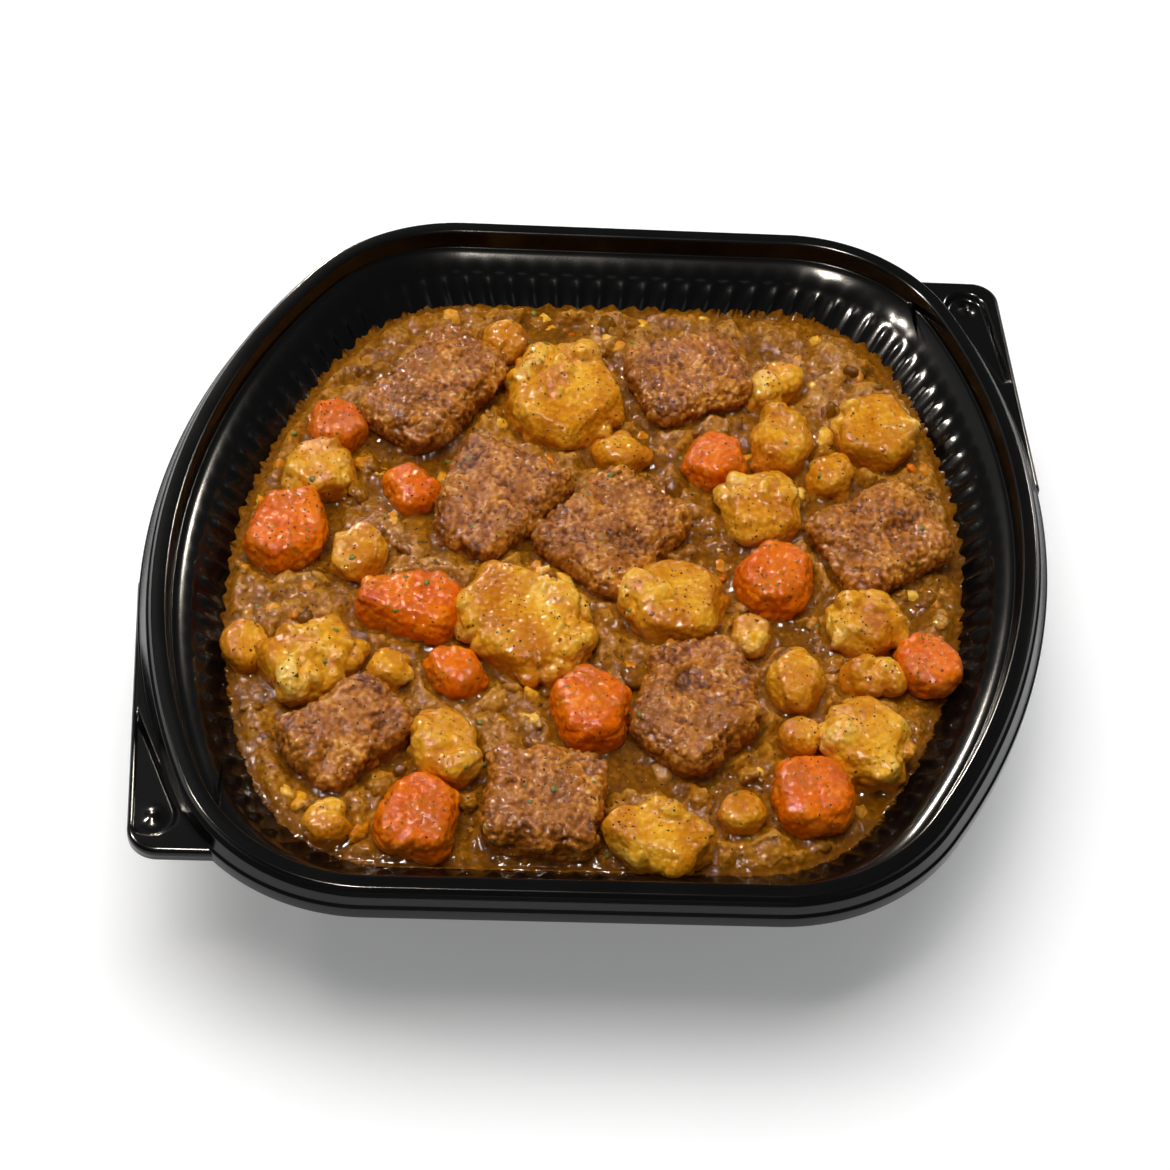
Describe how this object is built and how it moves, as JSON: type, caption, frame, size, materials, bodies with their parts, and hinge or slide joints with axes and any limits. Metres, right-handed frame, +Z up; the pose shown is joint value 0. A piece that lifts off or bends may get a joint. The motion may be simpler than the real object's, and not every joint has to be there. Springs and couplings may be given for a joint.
{
  "type": "beef stew in a tray",
  "caption": "Ready meal of beef stew: chunks of beef, carrot and potato in thick gravy, in a shallow black plastic tray with rounded corners and finger tabs at opposite corners.",
  "frame": {"origin": "on the surface that the tray stands on, under the middle of its outline", "axes": "+Z up out of the open tray, +X along its wider side, +Y away from the viewer"},
  "size_m": [0.1564, 0.1534, 0.036],
  "materials": {
    "tray": "black thermoformed plastic sheet, semi-gloss",
    "gravy": "thick golden brown gravy, wet and grainy",
    "beef": "braised beef, coarse grained and wet",
    "carrot": "cooked carrot, wet",
    "potato": "cooked potato, soft and wet"
  },
  "bodies": {
    "root": {"tray": "tray", "gravy": "gravy", "beef_1": "beef", "beef_2": "beef", "beef_3": "beef", "beef_4": "beef", "beef_5": "beef", "beef_6": "beef", "beef_7": "beef", "beef_8": "beef", "carrot_1": "carrot", "carrot_2": "carrot", "carrot_3": "carrot", "carrot_4": "carrot", "carrot_5": "carrot", "carrot_6": "carrot", "carrot_7": "carrot", "carrot_8": "carrot", "carrot_9": "carrot", "carrot_10": "carrot", "carrot_11": "carrot", "potato_1": "potato", "potato_2": "potato", "potato_3": "potato", "potato_4": "potato", "potato_5": "potato", "potato_6": "potato", "potato_7": "potato", "potato_8": "potato", "potato_9": "potato", "potato_10": "potato", "potato_11": "potato", "potato_12": "potato", "potato_13": "potato", "potato_14": "potato", "potato_15": "potato", "potato_16": "potato", "potato_17": "potato", "potato_18": "potato", "potato_19": "potato", "potato_20": "potato", "potato_21": "potato", "potato_22": "potato", "potato_23": "potato", "potato_24": "potato", "potato_25": "potato"}
  },
  "joints": []
}
